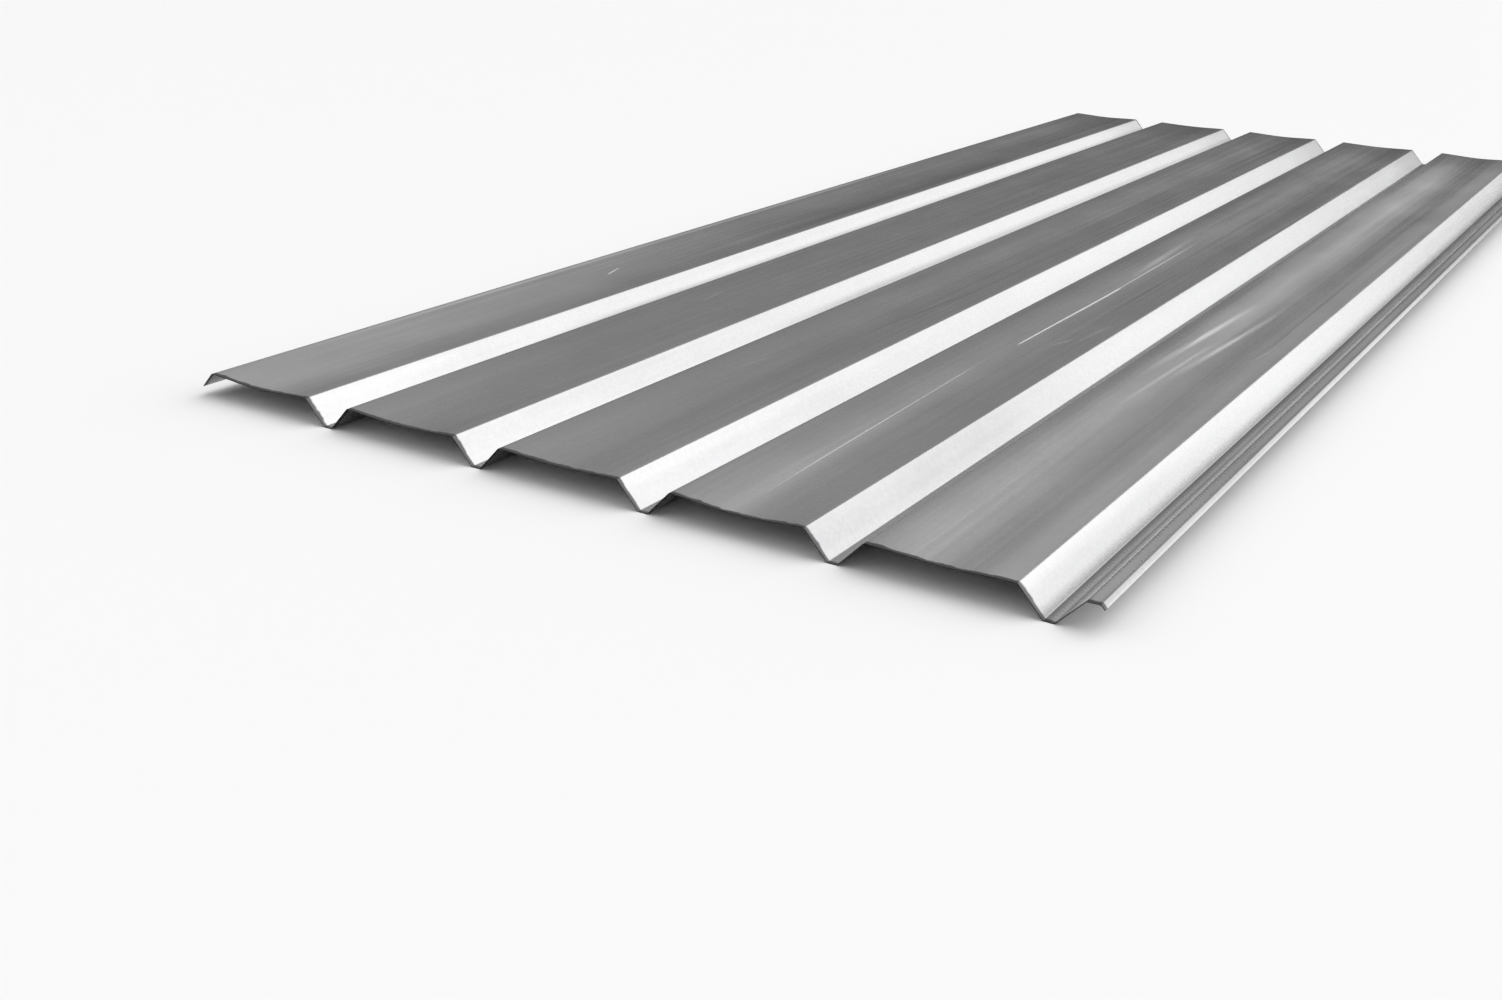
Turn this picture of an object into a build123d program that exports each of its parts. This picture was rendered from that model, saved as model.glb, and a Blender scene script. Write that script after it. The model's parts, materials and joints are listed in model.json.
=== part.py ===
from build123d import *
import os

# A roll-formed sheet of galvanized steel, lying on its ribs: the five broad flats face
# up, and the five narrow ribs point down and carry it.
# X runs across the sheet, Y along its length, Z up. The origin is at the middle of
# the sheet's footprint, on the plane that the ribs rest on.

# Driving dimensions, in millimetres.
length = 2600.0  # cut length, along the ribs
rib_count = 5
pitch = 205.0  # from one rib to the next
sheet_height = 28.0  # overall, from the rests under the ribs to the top of the flats
thickness = 0.8  # of the steel with its zinc
inner_bend_radius = 2.5  # on the inside of every bend

rib_base_width = 10.0  # the narrow flat at the bottom of a rib
web_run = 25.0  # how far a sloping web reaches sideways over the full rib height

edge_leg_drop = 17.0  # the lap leg at the left edge, measured down from the flats
foot_width = 13.0  # the narrow bearing foot beyond the last rib
foot_lip_drop = 4.0  # the stiffening lip at the foot's free edge, measured down

# Worked out from the driving dimensions.
rib_depth = sheet_height - thickness  # between like faces of a flat and a rib base
flat_width = pitch - rib_base_width - 2 * web_run
edge_leg_run = edge_leg_drop * web_run / rib_depth
foot_lip_run = foot_lip_drop * web_run / rib_depth
sheet_width = edge_leg_run + rib_count * pitch + foot_width + foot_lip_run
left_edge = -sheet_width / 2


def upper_face_corners():
    """The corners of the sheet's upper face, from the left edge to the right, as
    (x, z) pairs, and for each corner between the ends whether it bulges upwards."""
    x = left_edge
    corners = [(x, sheet_height - edge_leg_drop)]
    bulges_up = []
    x += edge_leg_run
    for _ in range(rib_count):
        corners.append((x, sheet_height))
        x += flat_width
        corners.append((x, sheet_height))
        x += web_run
        corners.append((x, sheet_height - rib_depth))
        x += rib_base_width
        corners.append((x, sheet_height - rib_depth))
        x += web_run
        bulges_up += [True, True, False, False]
    corners.append((x, sheet_height))
    x += foot_width
    corners.append((x, sheet_height))
    x += foot_lip_run
    corners.append((x, sheet_height - foot_lip_drop))
    bulges_up += [True, True]
    return corners, bulges_up


corners, bulges_up = upper_face_corners()
# The upper face is the outside of a bend that bulges upwards, and the inside of one
# that dips, so the two differ by the thickness and the steel stays equally thick.
upper_face_radii = [
    inner_bend_radius + thickness if up else inner_bend_radius for up in bulges_up
]

with BuildPart() as profiled_sheet:
    with BuildSketch(Plane.XZ) as section:
        with BuildLine() as section_outline:
            upper_face = FilletPolyline(*corners, radius=upper_face_radii)
            offset(upper_face, amount=thickness, side=Side.RIGHT, closed=True, mode=Mode.ADD)
        make_face()
    extrude(amount=length / 2, both=True)

profiled_sheet.part.label = "profiled_sheet"
os.makedirs("parts", exist_ok=True)
export_step(profiled_sheet.part, "parts/profiled_sheet.step")
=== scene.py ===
"""The looks of a roll-formed sheet of galvanized steel, lying ribs down on a pale studio floor."""

import json
import math

import bpy
import numpy as np
from mathutils import Matrix, Vector


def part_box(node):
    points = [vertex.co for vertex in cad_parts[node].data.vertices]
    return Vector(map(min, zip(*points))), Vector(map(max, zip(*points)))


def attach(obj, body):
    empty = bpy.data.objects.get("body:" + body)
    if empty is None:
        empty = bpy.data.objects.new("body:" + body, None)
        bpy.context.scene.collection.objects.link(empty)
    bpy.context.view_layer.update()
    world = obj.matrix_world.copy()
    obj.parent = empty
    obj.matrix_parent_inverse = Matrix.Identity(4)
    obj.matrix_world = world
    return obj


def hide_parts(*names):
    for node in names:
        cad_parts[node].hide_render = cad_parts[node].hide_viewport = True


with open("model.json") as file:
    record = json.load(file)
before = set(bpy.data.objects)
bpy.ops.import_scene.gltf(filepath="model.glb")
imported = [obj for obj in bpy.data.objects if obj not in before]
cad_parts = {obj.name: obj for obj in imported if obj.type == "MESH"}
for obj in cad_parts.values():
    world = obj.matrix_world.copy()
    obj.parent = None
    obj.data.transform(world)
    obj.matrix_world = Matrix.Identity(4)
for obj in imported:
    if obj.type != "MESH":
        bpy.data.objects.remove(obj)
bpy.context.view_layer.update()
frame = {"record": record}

MM = 0.001  # the frame is in metres

# The sheet's place and overall size come from the frame.
low_corner, high_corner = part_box("profiled_sheet")
mounts = {mount["name"]: mount["pos_m"] for mount in frame["record"]["mounts"]}
NEAR_END, FAR_END = low_corner.y, high_corner.y
SHEET_HEIGHT = high_corner.z
PITCH = mounts["flat_2_top"][0] - mounts["flat_1_top"][0]
RIB_COUNT = sum(name.startswith("rib_") for name in mounts)

# The section's own sizes, as it is roll-formed.
THICKNESS = 0.8 * MM
INNER_BEND_RADIUS = 2.5 * MM
RIB_BASE_WIDTH = 10 * MM
WEB_RUN = 25 * MM
EDGE_LEG_DROP = 17 * MM
FOOT_WIDTH = 13 * MM
FOOT_LIP_DROP = 4 * MM

RIB_DEPTH = SHEET_HEIGHT - THICKNESS
FLAT_WIDTH = PITCH - RIB_BASE_WIDTH - 2 * WEB_RUN
WEB_ANGLE = math.atan2(RIB_DEPTH, WEB_RUN)
WEB_LENGTH = math.hypot(RIB_DEPTH, WEB_RUN)
FIRST_FLAT = mounts["flat_1_top"][0] - FLAT_WIDTH / 2

# How far the flats dish, in millimetres, one row a flat: in the middle of the length, and how
# much more at the near and the far end. The depths in the middle are rounded from a fit to
# the greys of the photograph, and the far end's are a guess.
DISH = np.array(
    [
        [2.0, 2.0, 0.1],
        [0.2, 3.1, 1.4],
        [1.0, 1.2, 1.1],
        [0.8, 3.4, 1.3],
        [2.4, -0.9, 0.6],
    ]
)
END_RELAX = 160 * MM  # the length over which an end's extra dish dies away

LOWER_SIDE = 3.0  # metres between the two faces in the zinc's pattern, so that they differ

# Marks on the upper face, seen from above, in millimetres: the two ends as (x, y), the width,
# how much brighter or duller the zinc is there, and the share of the length over which each
# end fades. Handling left scratches and rubs that skip, placed as in the photograph.
HANDLING_MARKS = (
    ((172, -1290), (158, -660), 2.8, 0.34, 0.30),  # the long scratch on flat 4, faint at first
    ((165, -640), (167, -270), 4.0, 0.80, 0.06),
    ((169, -520), (161, 140), 4.2, 0.34, 0.35),
    ((198, -620), (214, -560), 4.0, 0.26, 0.40),  # scuffs beside it
    ((221, -600), (228, -460), 10.0, 0.10, 0.40),
    ((158, -240), (143, 180), 16.0, 0.16, 0.40),
    ((202, -470), (205, -120), 7.0, -0.14, 0.40),
    ((331, -700), (352, -200), 15.0, 0.30, 0.50),  # burnished streaks along flat 5
    ((363, -700), (391, -200), 14.0, 0.24, 0.50),
    ((349, -820), (364, -420), 8.0, 0.14, 0.45),
    ((428, -610), (423, 70), 5.0, -0.14, 0.40),
    ((420, -570), (433, -430), 6.0, 0.12, 0.50),
    ((-14, -760), (14, -360), 10.0, -0.16, 0.45),  # a dull line and a scuff on flat 3
    ((-60, -930), (-50, -845), 8.0, 0.12, 0.45),
    ((-256, -705), (-266, -625), 5.0, 0.14, 0.45),  # a rub on flat 2
    ((-446, -655), (-457, -610), 4.0, 0.70, 0.20),  # a nick on flat 1
)
# Soft bands along the sheet, given in the same way, which don't skip; most of them are painted
# highlight and painted shade. A band whose end lies beyond the sheet is still strong where the sheet
# ends. The rows called tone are no bands of their own: they are painted light and shade, which only
# bring the zinc there nearer to the photograph's grey.
BANDS_AND_PAINTED_LIGHT = (
    ((357, -1900), (352, 1500), 130.0, 0.23, 0.20),  # a painted highlight, the broad light band along flat 5
    ((434, -2600), (434, 2600), 80.0, 0.15, 0.30),  # tone, painted light on its right side
    ((314, -1000), (314, 100), 26.0, -0.12, 0.30),  # its darker left margin, and flat 4's
    ((112, -900), (112, 1300), 26.0, -0.10, 0.20),
    ((160, -2400), (160, 2000), 116.0, 0.10, 0.20),  # fainter bands on flats 4 and 3
    ((166, -1900), (166, -700), 60.0, 0.12, 0.45),
    ((-46, -900), (-46, 2400), 100.0, 0.08, 0.40),
    ((-480, -2300), (-480, -100), 160.0, 0.20, 0.45),  # tone, a painted highlight on the near half of flat 1
    ((-411, -2300), (-411, -100), 134.0, 0.20, 0.45),
    ((-388, -480), (-388, 760), 44.0, -0.16, 0.30),  # its darker right side, further back
    ((-505, -1420), (-505, 600), 16.0, 0.26, 0.30),  # its lighter left edge
    ((-348, -1000), (-348, 2200), 16.0, -0.34, 0.10),  # tone, painted shade in the creases at the feet of webs 1 and 2
    ((-143, -800), (-143, 2200), 16.0, -0.28, 0.12),
    ((259, -1900), (259, -500), 50.0, -0.16, 0.45),  # tone, painted shade on the near ends of webs 4 and 5
    ((463, -1900), (463, -500), 36.0, -0.12, 0.45),
    ((478, -1900), (478, 1900), 19.0, -0.42, 0.10),  # tone, painted shade over the bend's highlight at the foot of web 5, and painted light on its rib's base
    ((484, -1900), (484, 1900), 14.0, 0.16, 0.10),
    ((518, -1900), (518, 1900), 14.0, 0.10, 0.10),  # painted light on the foot beside it, and painted shade on the lip
    ((526, -1900), (526, 1900), 9.0, -0.30, 0.10),
)


def linear(hex_colour):
    """An sRGB hex colour as linear red, green, blue and alpha."""
    srgb = np.array([int(hex_colour[i : i + 2], 16) for i in (0, 2, 4)]) / 255
    return (*np.where(srgb <= 0.04045, srgb / 12.92, ((srgb + 0.055) / 1.055) ** 2.4), 1.0)


def rolled_section():
    """The middle of the steel's thickness across the sheet, as the rolls form it: the strip
    runs straight for a while, then turns by the web's angle on the bend radius, and so on.
    The heading is the running sum of the turns. Each step moves by its chord, its arc length
    times sin(half turn) / (half turn), along the heading halfway through the turn. Returns
    the points, their upward normals, and the distance along the strip to each."""
    half = THICKNESS / 2
    turn_in = math.tan(WEB_ANGLE / 2)
    over = turn_in * (INNER_BEND_RADIUS + THICKNESS)  # of a bend that bulges up
    under = turn_in * INNER_BEND_RADIUS  # of a bend that dips
    slope = 1 / math.sin(WEB_ANGLE)
    # each straight run has its length, and the number of steps that it is divided into
    leg = (EDGE_LEG_DROP * slope - over, 5)
    flat = (FLAT_WIDTH - 2 * over, 36)
    web = (WEB_LENGTH - over - under, 4)
    base = (RIB_BASE_WIDTH - 2 * under, 3)
    foot = (FOOT_WIDTH - 2 * over, 4)
    lip = (FOOT_LIP_DROP * slope - over, 3)
    straights = [leg] + [flat, web, base, web] * RIB_COUNT + [foot, lip]
    bends = [-1] + [-1, 1, 1, -1] * RIB_COUNT + [-1, 0]

    bend_steps = 6
    bend_arc = WEB_ANGLE * (INNER_BEND_RADIUS + half)
    lengths, turns = [], []
    for (run, steps), bend in zip(straights, bends):
        turning = bend_steps * abs(bend)
        lengths += [np.full(steps, run / steps), np.full(turning, bend_arc / bend_steps)]
        turns += [np.zeros(steps), np.full(turning, bend * WEB_ANGLE / bend_steps)]
    length, turn = np.concatenate(lengths), np.concatenate(turns)

    heading = WEB_ANGLE + np.concatenate([[0], np.cumsum(turn)])
    halfway = heading[:-1] + turn / 2
    chord = length * np.sinc(turn / math.tau)
    steps = chord[:, None] * np.stack([np.cos(halfway), np.sin(halfway)], 1)
    normals = np.stack([-np.sin(heading), np.cos(heading)], 1)
    upper_start = np.array([low_corner.x, SHEET_HEIGHT - EDGE_LEG_DROP])
    points = np.concatenate([np.zeros((1, 2)), np.cumsum(steps, 0)]) + upper_start - half * normals[0]
    return points, normals, np.concatenate([[0], np.cumsum(length)])


def stations_along(rim_steps):
    """Distances along the sheet from the near end to the far end: the sheared rim's own rows,
    then rows over 360 mm whose place is their share of the way to the power 1.6, so that they
    start close together and widen, then even rows to the same at the far end."""
    length = FAR_END - NEAR_END
    reach, power = 360 * MM, 1.6
    widening_rows, middle_rows = 18, 39
    shares = np.linspace(0, 1, widening_rows + 1)[1:]
    widening = rim_steps[-1] + reach * shares**power
    middle = np.linspace(widening[-1], length - widening[-1], middle_rows + 2)[1:-1]
    half = np.concatenate([rim_steps, widening])
    return np.concatenate([half, middle, (length - half)[::-1]])


def dish_depth(x, along):
    """How far the upper face lies under its straight line, for every point across and every
    station along. Along its length a flat dishes as sin squared of the place across it, times
    its own depth, which drifts by three long waves. The ends add a fuller bow, sin to the power
    1.2 of the place, times a depth that dies away as exp(-distance from the end / END_RELAX)."""
    length = FAR_END - NEAR_END
    place = (x - FIRST_FLAT) / PITCH
    flat = np.floor(place).astype(int)
    on_a_flat = (flat >= 0) & (flat < RIB_COUNT)
    share = np.where(on_a_flat, np.minimum((place - flat) * PITCH / FLAT_WIDTH, 1), 0)
    row = np.clip(flat, 0, RIB_COUNT - 1)
    middle, near, far = (DISH * MM)[row].T[:, :, None]
    swing = 0.16  # of each wave, as a share of the depth
    spans = (1.9, 0.83, 0.47)  # of the waves, in metres
    rng = np.random.default_rng(28)
    phases = rng.uniform(0, math.tau, (len(spans), RIB_COUNT))[:, row, None]
    waves = (swing * np.cos(math.tau * along / span + phase) for span, phase in zip(spans, phases))
    drift = middle * (1 + sum(waves))
    ends = near * np.exp(-along / END_RELAX) + far * np.exp(-(length - along) / END_RELAX)
    bow = np.sin(math.pi * share)[:, None]
    return bow**2 * drift + bow**1.2 * ends


def rim_half_thickness(distance, corner):
    """Half the steel's thickness at a distance in from a sheared edge: the corner is a quarter
    circle, so it is the half thickness less the radius, plus sqrt(r^2 - (r - distance)^2)."""
    inside = np.minimum(distance, corner)
    return THICKNESS / 2 - corner + np.sqrt(corner**2 - (corner - inside) ** 2)


def build_sheet():
    """The whole sheet as one closed surface: the section carried along Y. Each point of the
    upper and the lower face is the section's middle, lowered by the dish, plus or minus half
    the thickness along the section's normal. The half thickness shrinks on a small quarter
    circle at the sheared edges, where strips of faces join the upper face to the lower."""
    corner = 0.14 * MM  # what the shears round off
    # the rows of the rounded corner, and one just past it, which keeps the face beyond it evenly
    # shaded
    rim_steps = corner * np.append(1 - np.cos(np.linspace(0, math.pi / 2, 4)), 1.6)
    points, normals, across = rolled_section()
    # the long edges get the same fine steps as the ends, in from each edge along the strip
    total = across[-1]
    fine = rim_steps[1:]
    edge_across = np.concatenate([[0], fine, across[1:-1], total - fine[::-1], [total]])
    points = np.stack([np.interp(edge_across, across, c) for c in points.T], 1)
    normals = np.stack([np.interp(edge_across, across, c) for c in normals.T], 1)
    across = edge_across
    along = stations_along(rim_steps)
    wide, deep = len(across), len(along)

    edge_distance = np.minimum(across, total - across)
    end_distance = np.minimum(along, along[-1] - along)
    edge_half = rim_half_thickness(edge_distance, corner)
    end_half = rim_half_thickness(end_distance, corner)
    half = np.minimum(edge_half[:, None], end_half)
    x = points[:, :1] + np.zeros(deep)
    z = points[:, 1:] - dish_depth(points[:, 0], along)
    y = NEAR_END + along + np.zeros((wide, 1))
    upper = np.stack([x + half * normals[:, :1], y, z + half * normals[:, 1:]], 2)
    lower = np.stack([x - half * normals[:, :1], y, z - half * normals[:, 1:]], 2)
    vertices = np.concatenate([upper.reshape(-1, 3), lower.reshape(-1, 3)])

    upper_at = np.arange(wide * deep).reshape(wide, deep)
    lower_at = upper_at + wide * deep

    def quads(a, b, c, d):
        return np.stack([a, b, c, d], -1).reshape(-1, 4)

    faces = [
        quads(upper_at[:-1, :-1], upper_at[1:, :-1], upper_at[1:, 1:], upper_at[:-1, 1:]),
        quads(lower_at[:-1, :-1], lower_at[:-1, 1:], lower_at[1:, 1:], lower_at[1:, :-1]),
        quads(upper_at[0, 1:], lower_at[0, 1:], lower_at[0, :-1], upper_at[0, :-1]),
        quads(upper_at[-1, :-1], lower_at[-1, :-1], lower_at[-1, 1:], upper_at[-1, 1:]),
        quads(upper_at[:-1, 0], lower_at[:-1, 0], lower_at[1:, 0], upper_at[1:, 0]),
        quads(upper_at[1:, -1], lower_at[1:, -1], lower_at[:-1, -1], upper_at[:-1, -1]),
    ]
    # bare steel shows on the cut faces and round nearly all of their corners, whose material is painted
    # near black, a painted shade that also darkens the corners' highlight
    rounded = np.minimum.outer(edge_distance, end_distance) < 0.9 * corner
    bare_and_painted_dark = np.where(rounded[:-1, :-1] | rounded[1:, 1:], 1, 0).ravel()
    strips = [np.ones(len(f), int) for f in faces[2:]]
    sheared = np.concatenate([bare_and_painted_dark, bare_and_painted_dark, *strips])

    mesh = bpy.data.meshes.new("galvanized_sheet")
    mesh.from_pydata(vertices.tolist(), [], np.concatenate(faces).tolist())
    mesh.polygons.foreach_set("use_smooth", np.ones(len(mesh.polygons), bool))
    mesh.polygons.foreach_set("material_index", sheared.astype(np.int32))
    # the zinc's pattern lies on the flat strip, from before it was formed: metres across,
    # metres along, and 0 on the upper face
    strip = np.stack(
        [
            np.tile((across[:, None] + np.zeros(deep)).ravel(), 2),
            vertices[:, 1],
            np.repeat([0.0, LOWER_SIDE], wide * deep),
        ],
        1,
    )
    attribute = mesh.attributes.new("strip", "FLOAT_VECTOR", "POINT")
    attribute.data.foreach_set("vector", strip.astype(np.float32).ravel())
    mesh.validate()
    mesh.update()
    sheet = bpy.data.objects.new("galvanized_sheet", mesh)
    bpy.context.scene.collection.objects.link(sheet)
    return sheet


def new_material(name):
    """A material with its tree emptied down to the shader and the output."""
    material = bpy.data.materials.new(name)
    material.use_nodes = True
    tree = material.node_tree
    return material, tree, tree.nodes["Principled BSDF"]


def add(tree, kind, inputs=(), **settings):
    """Adds a node with its settings. Inputs are given by name or number, as a value or as
    another node's output, which is linked."""
    node = tree.nodes.new(kind)
    for name, value in settings.items():
        setattr(node, name, value)
    for name, value in dict(inputs).items():
        if isinstance(value, bpy.types.NodeSocket):
            tree.links.new(value, node.inputs[name])
        else:
            node.inputs[name].default_value = value
    return node


def add_shares(tree, total, patterns):
    """The total with each pattern times its share added to it."""
    for pattern, share in patterns:
        values = {0: pattern, 1: share, 2: total}
        total = add(tree, "ShaderNodeMath", values, operation="MULTIPLY_ADD").outputs[0]
    return total


def soft_lines(tree, lines):
    """How much brighter or duller a set of marks makes the zinc at a point. Each mark is a soft
    line between two ends: full strength on its middle, none at half its width to either side,
    and fading in and out over its own share of the length at each end."""
    place = add(tree, "ShaderNodeTexCoord").outputs["Object"]
    x, y, _ = add(tree, "ShaderNodeSeparateXYZ", {0: place}).outputs
    total = 0.0
    for (x0, y0), (x1, y1), width, strength, fading in lines:
        ends = {"Value": y, "From Min": y0 * MM, "From Max": y1 * MM}
        line = add(tree, "ShaderNodeMapRange", ends | {"To Min": x0 * MM, "To Max": x1 * MM}).outputs[0]
        aside = add(tree, "ShaderNodeMath", {0: x, 1: line}, operation="SUBTRACT").outputs[0]
        aside = add(tree, "ShaderNodeMath", {0: aside}, operation="ABSOLUTE").outputs[0]
        across = add(
            tree,
            "ShaderNodeMapRange",
            {"Value": aside, "From Max": width / 2 * MM, "To Min": strength, "To Max": 0.0},
            interpolation_type="SMOOTHSTEP",
        ).outputs[0]
        share = add(tree, "ShaderNodeMapRange", ends).outputs[0]
        # the share of the length from the nearer end
        share = add(tree, "ShaderNodeMath", {0: share, 1: 0.5}, operation="PINGPONG").outputs[0]
        fade = add(
            tree,
            "ShaderNodeMapRange",
            {"Value": share, "From Max": fading},
            interpolation_type="SMOOTHSTEP",
        ).outputs[0]
        total = add_shares(tree, total, ((across, fade),))
    return total


def stretched_noise(tree, strip, across, along, detail):
    """Noise drawn out along the strip: its patches are so many metres across and along."""
    drawn = add(
        tree, "ShaderNodeVectorMath", {0: strip, 1: (1 / across, 1 / along, 1)}, operation="MULTIPLY"
    ).outputs[0]
    return add(tree, "ShaderNodeTexNoise", {"Vector": drawn, "Scale": 1.0, "Detail": detail}).outputs["Fac"]


def top_marks_and_painted_light(tree, strip, side):
    """The marks of both tables, on the upper face alone: the handling marks times a pressure
    that comes and goes along them, plus the bands, most of which are painted highlight and painted
    shade."""
    skips = stretched_noise(tree, strip, 5 * MM, 200 * MM, 3.0)
    pressure = {"Value": skips, "From Min": 0.3, "From Max": 0.7, "To Min": 0.5, "To Max": 1.4}
    pressure = add(tree, "ShaderNodeMapRange", pressure).outputs[0]
    # the bands: painted highlight and painted shade, with a few soft bands
    bands = soft_lines(tree, BANDS_AND_PAINTED_LIGHT)
    marks_and_painted_light = add_shares(tree, bands, ((soft_lines(tree, HANDLING_MARKS), pressure),))
    upper = add(tree, "ShaderNodeMath", {0: side, 1: LOWER_SIDE / 2}, operation="LESS_THAN").outputs[0]
    return add(tree, "ShaderNodeMath", {0: marks_and_painted_light, 1: upper}, operation="MULTIPLY").outputs[0]


def painted_end_shadow(tree, strip, y):
    """A narrow dark band beside the sheared ends, a painted shadow which stands for part of
    the dark outline that the photograph gives them. A noise is added to the distance from the
    middle of the sheet, and the painted shadow grows over the last 3 mm before that sum reaches
    the end's distance."""
    from_middle = add(tree, "ShaderNodeMath", {0: y}, operation="ABSOLUTE").outputs[0]
    raggedness = stretched_noise(tree, strip, 14 * MM, 14 * MM, 3.0)
    reached = add_shares(tree, from_middle, ((raggedness, 7 * MM),))
    return add(
        tree,
        "ShaderNodeMapRange",
        {"Value": reached, "From Min": FAR_END - 3 * MM, "From Max": FAR_END, "To Max": 0.85},
        interpolation_type="SMOOTHSTEP",
    ).outputs[0]


def galvanized_steel():
    """Hot-dip zinc on cold-rolled strip, skin passed and then roll-formed. The zinc gives a
    satin mid grey with a small spangle, the mill's rolls leave soft streaks along the strip,
    and handling leaves a few bright scratches. Over that lie bands of painted highlight and
    painted shade, a painted highlight towards the near end, and a painted shadow along the
    sheared ends."""
    material, tree, shader = new_material("galvanized_steel")
    strip = add(tree, "ShaderNodeAttribute", attribute_name="strip").outputs["Vector"]
    _, y, side = add(tree, "ShaderNodeSeparateXYZ", {0: strip}).outputs
    shader.inputs["Metallic"].default_value = 1.0

    spangle = add(tree, "ShaderNodeTexVoronoi", {"Vector": strip, "Scale": 1 / (4 * MM)})
    crystal = add(tree, "ShaderNodeSeparateColor", {0: spangle.outputs["Color"]}).outputs[0]
    # the grain is coarser than real zinc's, so that it shows
    grain = stretched_noise(tree, strip, 2.4 * MM, 2.4 * MM, 4.0)
    clouds = stretched_noise(tree, strip, 60 * MM, 140 * MM, 2.0)
    streaks = stretched_noise(tree, strip, 6 * MM, 700 * MM, 4.0)
    bands = stretched_noise(tree, strip, 34 * MM, 1900 * MM, 1.0)
    thin = stretched_noise(tree, strip, 1.3 * MM, 240 * MM, 1.0)
    scratches = {"Value": thin, "From Min": 0.70, "From Max": 0.80}
    scratches = add(tree, "ShaderNodeMapRange", scratches).outputs[0]
    marks_and_painted_light = top_marks_and_painted_light(tree, strip, side)

    # the tone is 0 for dull dark zinc and 1 for bright rubbed zinc; each pattern moves it from
    # the plain zinc's tone by its share, half up and half down, but scratches only brighten it
    plain = 0.41
    patterns = ((crystal, 0.04), (grain, 0.06), (clouds, 0.12), (streaks, 0.14), (bands, 0.16))
    middle = plain - sum(share for _, share in patterns) / 2
    tone = add_shares(tree, marks_and_painted_light, (*patterns, (scratches, 0.12)))
    # the far end is made darker, and the near end lighter, a painted highlight
    darker_far_end = {"From Min": FAR_END - 300 * MM, "From Max": FAR_END, "To Min": 0.0, "To Max": -0.20}
    painted_near_highlight = {"From Min": NEAR_END, "From Max": NEAR_END + 420 * MM, "To Min": 0.07, "To Max": 0.0}
    for values in (darker_far_end, painted_near_highlight):
        change = add(tree, "ShaderNodeMapRange", {"Value": y} | values, interpolation_type="SMOOTHSTEP")
        tone = add(tree, "ShaderNodeMath", {0: tone, 1: change.outputs[0]}).outputs[0]
    tone = add(tree, "ShaderNodeMath", {0: tone, 1: middle}, use_clamp=True).outputs[0]

    colour = add(
        tree,
        "ShaderNodeMix",
        {"Factor": tone, 6: linear("7D7D7E"), 7: linear("DDDDDE")},
        data_type="RGBA",
    ).outputs[2]
    # a painted shadow: the near-black band along the sheared ends
    colour = add(
        tree,
        "ShaderNodeMix",
        {"Factor": painted_end_shadow(tree, strip, y), 6: colour, 7: linear("1E1E1F")},
        data_type="RGBA",
    ).outputs[2]
    tree.links.new(colour, shader.inputs["Base Color"])

    # the patterns show in the finish too, which is what the flats' mirrored light brings out
    finish = ((grain, 0.14), (clouds, 0.05), (streaks, 0.13))
    least = 0.20 - sum(share for _, share in finish) / 2
    most = least + 0.12
    rough = add(tree, "ShaderNodeMapRange", {"Value": tone, "To Min": least, "To Max": most}).outputs[0]
    # a bright mark is a patch of tiny scratches, so it scatters more; the painted highlight bands are made
    # rougher in the same way
    scoured = add(tree, "ShaderNodeMath", {0: marks_and_painted_light, 1: 0.0}, operation="MAXIMUM").outputs[0]
    rough = add_shares(tree, rough, ((scoured, 0.40), *finish))
    tree.links.new(rough, shader.inputs["Roughness"])
    bump = add(tree, "ShaderNodeBump", {"Height": grain, "Strength": 1.0, "Distance": 0.11 * MM})
    tree.links.new(bump.outputs[0], shader.inputs["Normal"])
    return material


def sheared_edge_painted_dark():
    """The bare cut edge: steel, torn and dull, with brighter patches where the blade slid; its grey is
    painted near black, a painted shade.
    """
    material, tree, shader = new_material("sheared_edge_painted_dark")
    strip = add(tree, "ShaderNodeAttribute", attribute_name="strip").outputs["Vector"]
    shader.inputs["Metallic"].default_value = 1.0
    torn = add(tree, "ShaderNodeTexNoise", {"Vector": strip, "Scale": 1 / (0.9 * MM), "Detail": 3.0})
    # painted shade: the cut steel's grey is taken down to near black
    colour = add(
        tree,
        "ShaderNodeMix",
        {"Factor": torn.outputs["Fac"], 6: linear("202021"), 7: linear("404142")},
        data_type="RGBA",
    ).outputs[2]
    tree.links.new(colour, shader.inputs["Base Color"])
    shader.inputs["Roughness"].default_value = 0.45
    return material


def pale_floor():
    """A wide floor of matt pale board under the rib bases."""
    reach = 30.0  # metres to each side
    corners = [(-reach, -reach, 0), (reach, -reach, 0), (reach, reach, 0), (-reach, reach, 0)]
    mesh = bpy.data.meshes.new("floor")
    mesh.from_pydata(corners, [], [(0, 1, 2, 3)])
    material, tree, shader = new_material("matt_white_board")
    shader.inputs["Base Color"].default_value = linear("EAEAEA")
    shader.inputs["Roughness"].default_value = 0.9
    shader.inputs["Specular IOR Level"].default_value = 0.1
    mesh.materials.append(material)
    floor = bpy.data.objects.new("floor", mesh)
    bpy.context.scene.collection.objects.link(floor)


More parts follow.
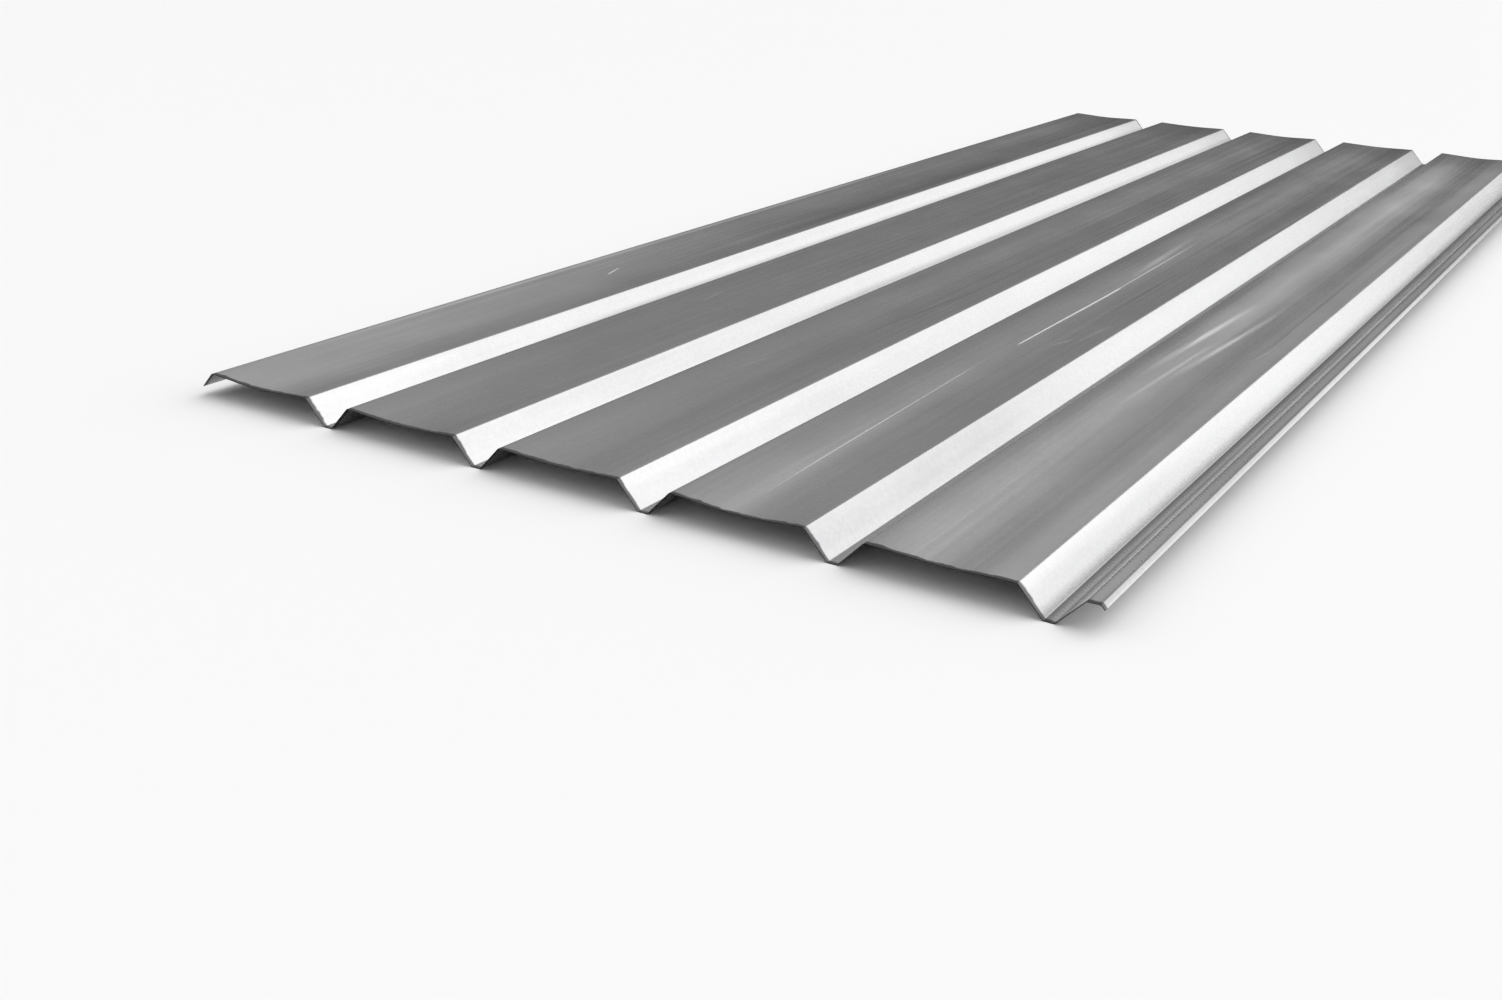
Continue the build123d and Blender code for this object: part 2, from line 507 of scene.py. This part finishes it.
def soft_box(tree, towards, room, azimuth, elevation, half_width, half_height, radiance):
    """A far soft box in front of the room's own light, and the room where the box isn't. Its
    azimuth runs clockwise from +Y and its elevation up, in degrees. A direction is inside the
    box where its part across the box's axis is less than its part along the axis times the
    half width, and so on for the height."""
    turn, lift = math.radians(azimuth), math.radians(elevation)
    axis = Matrix.Rotation(-turn, 3, "Z") @ Matrix.Rotation(lift, 3, "X") @ Vector((0, 1, 0))
    right = Vector((math.cos(turn), -math.sin(turn), 0))
    half_edge = 0.06  # half the width of the box's soft edge
    ahead = add(tree, "ShaderNodeVectorMath", {0: towards, 1: axis}, operation="DOT_PRODUCT")
    ahead = ahead.outputs["Value"]
    inside = 1.0
    for across, half in ((right, half_width), (right.cross(axis), half_height)):
        aside = add(tree, "ShaderNodeVectorMath", {0: towards, 1: across}, operation="DOT_PRODUCT")
        aside = add(tree, "ShaderNodeMath", {0: aside.outputs["Value"]}, operation="ABSOLUTE").outputs[0]
        beyond = add_shares(tree, aside, ((ahead, -half),))
        edge = {"Value": beyond, "From Min": half_edge, "From Max": -half_edge}
        edge = add(tree, "ShaderNodeMapRange", edge, interpolation_type="SMOOTHSTEP").outputs[0]
        inside = add(tree, "ShaderNodeMath", {0: inside, 1: edge}, operation="MULTIPLY").outputs[0]
    return add(tree, "ShaderNodeMix", {0: inside, 2: room, 3: radiance}).outputs[0]


def studio_light():
    """A studio that is nearly dark at the horizon and grey overhead, with a large soft box
    behind the sheet on the right and a dim one in front on the left. From the camera the flats
    mirror the dark side and the webs the large box. It is all far away, so it lights the whole
    floor evenly. The large box's place and size, and the heights between which the ceiling
    brightens, come from a fit to the greys of the photograph."""
    world = bpy.data.worlds.new("studio")
    bpy.context.scene.world = world
    world.use_nodes = True
    tree = world.node_tree
    towards = add(tree, "ShaderNodeTexCoord").outputs["Generated"]
    height = add(tree, "ShaderNodeSeparateXYZ", {0: towards}).outputs["Z"]
    light = add(
        tree,
        "ShaderNodeMapRange",
        {"Value": height, "From Min": 0.002, "From Max": 0.482, "To Min": 0.034, "To Max": 0.73},
        interpolation_type="SMOOTHSTEP",
    ).outputs[0]
    for box in (
        {"azimuth": 47.3, "elevation": 37.6, "half_width": 0.825, "half_height": 1.054, "radiance": 2.70},
        {"azimuth": 235.0, "elevation": 44.0, "half_width": 0.60, "half_height": 0.42, "radiance": 1.50},
    ):
        light = soft_box(tree, towards, light, **box)
    studio = add(tree, "ShaderNodeBackground", {"Strength": light})
    # straight ahead, the camera sees a backdrop nearly as bright as the floor looks
    backdrop = add(tree, "ShaderNodeBackground", {"Color": linear("FBFBFB")})
    seen = add(tree, "ShaderNodeLightPath").outputs["Is Camera Ray"]
    mixed = add(tree, "ShaderNodeMixShader", {0: seen, 1: studio.outputs[0], 2: backdrop.outputs[0]})
    tree.links.new(mixed.outputs[0], tree.nodes["World Output"].inputs["Surface"])


def camera():
    """The photograph's own view, worked out from the sheet's edges: the camera stands beyond
    the near end on the right, and looks down and to the left across the sheet."""
    eye = Vector((906.7, -2483.2, 587.5)) * MM
    turn_left, look_down, roll = (math.radians(a) for a in (31.159, 21.552, 1.801))
    data = bpy.data.cameras.new("camera")
    data.sensor_width = 36.0
    focal_pixels, picture_width = 1649.45, 1502
    data.lens = data.sensor_width * focal_pixels / picture_width
    data.clip_start, data.clip_end = 0.05, 100.0
    eye_object = bpy.data.objects.new("camera", data)
    eye_object.matrix_world = (
        Matrix.Translation(eye)
        @ Matrix.Rotation(turn_left, 4, "Z")
        @ Matrix.Rotation(math.pi / 2 - look_down, 4, "X")
        @ Matrix.Rotation(roll, 4, "Z")
    )
    bpy.context.scene.collection.objects.link(eye_object)
    bpy.context.scene.camera = eye_object


camera()
pale_floor()
studio_light()
bpy.context.scene.view_settings.view_transform = "Standard"

sheet = build_sheet()
sheet.data.materials.append(galvanized_steel())
sheet.data.materials.append(sheared_edge_painted_dark())
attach(sheet, "root")
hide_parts("profiled_sheet")
